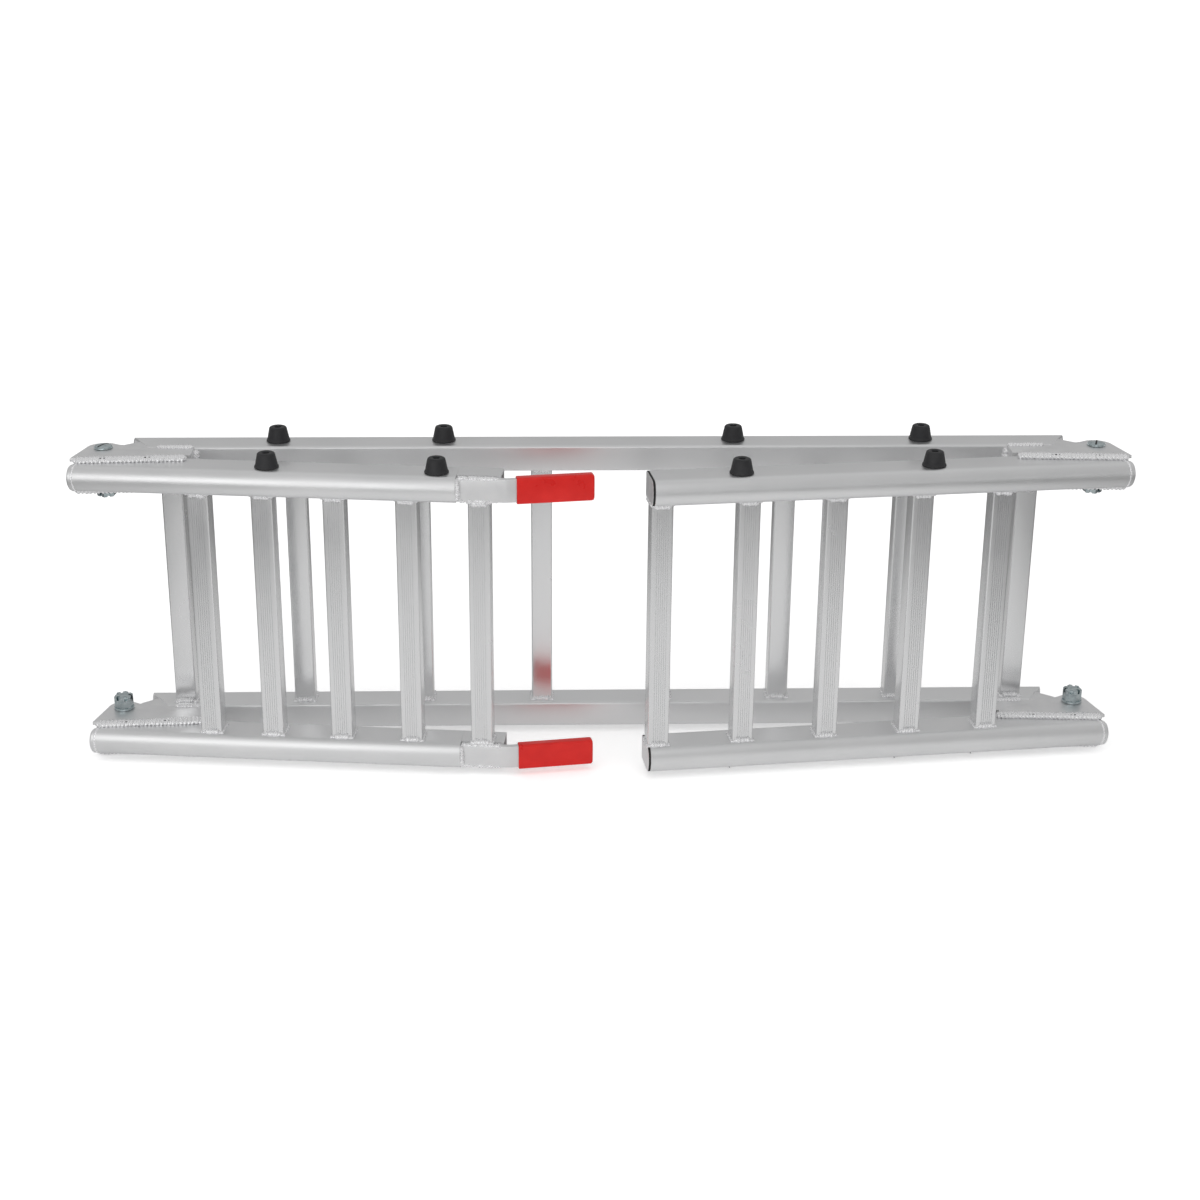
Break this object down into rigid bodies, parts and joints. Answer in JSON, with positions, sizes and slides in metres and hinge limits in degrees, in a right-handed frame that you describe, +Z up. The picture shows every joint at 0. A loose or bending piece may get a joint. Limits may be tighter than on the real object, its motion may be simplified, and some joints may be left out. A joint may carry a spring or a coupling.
{
  "type": "folding loading ramp",
  "caption": "Folding aluminium ladder ramp with D-shaped rails, ribbed rungs, bolted plate hinges, rubber bumpers and bent truck-end fingers in red sleeves, standing partly folded on its side.",
  "frame": {"origin": "centre of the footprint at the height of the lowest point, the lower hinge bolt heads, with the ramp standing on its side and partly folded as in the picture", "axes": "+X along the middle section from the truck end to the ground end, +Y from the folded sections to the middle section, +Z up, which is across the ramp's width"},
  "size_m": [0.987, 0.15, 0.3111],
  "materials": {
    "rail_aluminium": "satin mill-finish extrusion",
    "rung_aluminium": "satin mill-finish extrusion, ribbed tread",
    "plate_aluminium": "mill-finish plate with weld beads",
    "plug_black": "black plastic with an aluminium face",
    "zinc_steel": "bright bluish zinc plate",
    "black_rubber": "matte black rubber",
    "red_vinyl": "glossy red vinyl"
  },
  "bodies": {
    "middle": {"middle_bumper_1": "black_rubber", "middle_bumper_2": "black_rubber", "middle_bumper_3": "black_rubber", "middle_bumper_4": "black_rubber", "middle_lower_ground_lug": "plate_aluminium", "middle_lower_rail": "rail_aluminium", "middle_lower_truck_lug": "plate_aluminium", "middle_rung_1": "rung_aluminium", "middle_rung_2": "rung_aluminium", "middle_rung_3": "rung_aluminium", "middle_rung_4": "rung_aluminium", "middle_rung_5": "rung_aluminium", "middle_rung_6": "rung_aluminium", "middle_rung_7": "rung_aluminium", "middle_rung_8": "rung_aluminium", "middle_upper_ground_lug": "plate_aluminium", "middle_upper_rail": "rail_aluminium", "middle_upper_truck_lug": "plate_aluminium"},
    "truck": {"truck_bumper_1": "black_rubber", "truck_bumper_2": "black_rubber", "truck_lower_finger": "plate_aluminium", "truck_lower_hinge_bolt": "zinc_steel", "truck_lower_hinge_castle_nut": "zinc_steel", "truck_lower_hinge_inner_plate": "plate_aluminium", "truck_lower_hinge_outer_plate": "plate_aluminium", "truck_lower_rail": "rail_aluminium", "truck_lower_sleeve": "red_vinyl", "truck_rung_1": "rung_aluminium", "truck_rung_2": "rung_aluminium", "truck_rung_3": "rung_aluminium", "truck_rung_4": "rung_aluminium", "truck_rung_5": "rung_aluminium", "truck_upper_finger": "plate_aluminium", "truck_upper_hinge_bolt": "zinc_steel", "truck_upper_hinge_castle_nut": "zinc_steel", "truck_upper_hinge_inner_plate": "plate_aluminium", "truck_upper_hinge_outer_plate": "plate_aluminium", "truck_upper_rail": "rail_aluminium", "truck_upper_sleeve": "red_vinyl"},
    "ground": {"ground_bumper_1": "black_rubber", "ground_bumper_2": "black_rubber", "ground_lower_hinge_bolt": "zinc_steel", "ground_lower_hinge_castle_nut": "zinc_steel", "ground_lower_hinge_inner_plate": "plate_aluminium", "ground_lower_hinge_outer_plate": "plate_aluminium", "ground_lower_plug": "plug_black", "ground_lower_rail": "rail_aluminium", "ground_rung_1": "rung_aluminium", "ground_rung_2": "rung_aluminium", "ground_rung_3": "rung_aluminium", "ground_rung_4": "rung_aluminium", "ground_rung_5": "rung_aluminium", "ground_upper_hinge_bolt": "zinc_steel", "ground_upper_hinge_castle_nut": "zinc_steel", "ground_upper_hinge_inner_plate": "plate_aluminium", "ground_upper_hinge_outer_plate": "plate_aluminium", "ground_upper_plug": "plug_black", "ground_upper_rail": "rail_aluminium"}
  },
  "joints": [
    {"name": "truck_section_hinge", "type": "hinge", "parent": "middle", "child": "truck", "pos_m": [-0.46645, 0.02461, 0.1518], "axis": [0, 0, -1], "range_deg": [-6.3, 167]},
    {"name": "ground_section_hinge", "type": "hinge", "parent": "middle", "child": "ground", "pos_m": [0.46625, 0.02461, 0.1518], "axis": [0, 0, 1], "range_deg": [-6.5, 167]}
  ]
}
